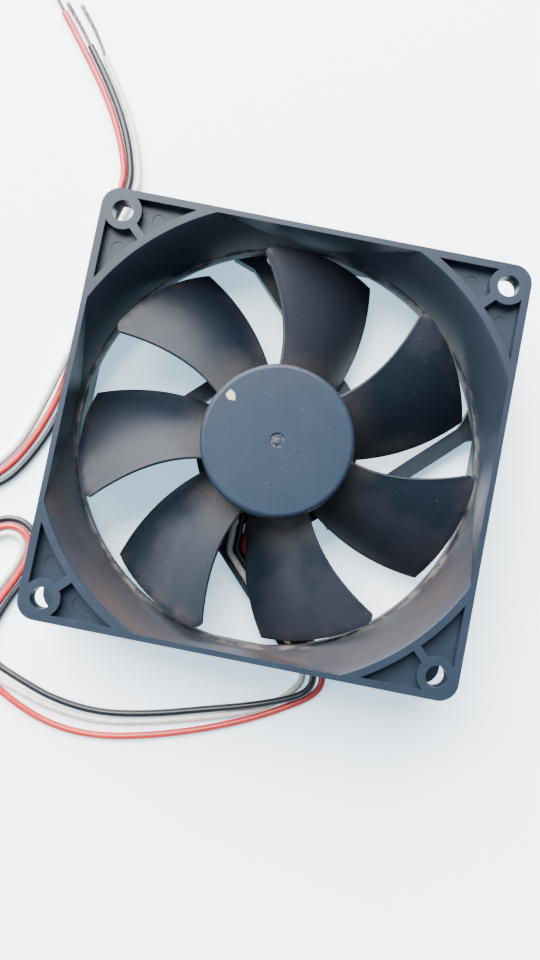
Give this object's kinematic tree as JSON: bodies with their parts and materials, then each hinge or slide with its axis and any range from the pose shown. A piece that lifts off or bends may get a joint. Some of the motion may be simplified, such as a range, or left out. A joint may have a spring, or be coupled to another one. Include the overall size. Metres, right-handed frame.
{
  "type": "case fan",
  "caption": "Square axial case fan: moulded duct frame with struts, swept-blade rotor on a sleeve bearing, brushless motor and loose red, black and white leads.",
  "frame": {"origin": "centre of the frame's rear face, which rests on the surface", "axes": "+Z along the rotor's axis, from the rear face towards the intake side and the hub; X and Y along the frame's sides"},
  "size_m": [0.1225, 0.1754, 0.025],
  "materials": {
    "frame_plastic": "satin",
    "impeller_plastic": "satin",
    "yoke_steel": "satin",
    "magnet_ferrite": "matte",
    "shaft_steel": "polished",
    "insert_brass": "satin",
    "clip_plastic": "matte",
    "bearing_bronze": "matte",
    "cap_rubber": "matte",
    "label_film": "satin",
    "core_steel": "matte",
    "bobbin_plastic": "matte",
    "coil_copper": "lacquered",
    "board_laminate": "gloss",
    "chip_plastic": "matte",
    "chip_ceramic": "matte",
    "tinned_metal": "satin",
    "wire_red": "satin",
    "wire_black": "satin",
    "wire_white": "satin",
    "bare_strands": "tinned"
  },
  "bodies": {
    "housing": {"bearing_cap": "cap_rubber", "chip_capacitor": "chip_ceramic", "chip_resistor": "chip_plastic", "circuit_board": "board_laminate", "coil_1": "coil_copper", "coil_2": "coil_copper", "coil_3": "coil_copper", "coil_4": "coil_copper", "driver_ic": "chip_plastic", "frame": "frame_plastic", "lead_black": "wire_black", "lead_red": "wire_red", "lead_white": "wire_white", "lower_bobbin": "bobbin_plastic", "oil_ring": "clip_plastic", "rear_label": "label_film", "sleeve_bearing": "bearing_bronze", "solder_joints": "tinned_metal", "stator_core": "core_steel", "strands_black": "bare_strands", "strands_red": "bare_strands", "strands_white": "bare_strands", "terminal_pins": "tinned_metal", "upper_bobbin": "bobbin_plastic", "wire_black": "wire_black", "wire_red": "wire_red", "wire_white": "wire_white"},
    "rotor": {"impeller": "impeller_plastic", "rotor_yoke": "yoke_steel", "ring_magnet": "magnet_ferrite", "shaft": "shaft_steel", "shaft_insert": "insert_brass", "retaining_clip": "clip_plastic", "thrust_washer": "clip_plastic"}
  },
  "joints": [
    {"name": "rotor_spin", "type": "hinge", "parent": "housing", "child": "rotor", "pos_m": [0, 0, 0], "axis": [0, 0, 1], "continuous": true}
  ]
}
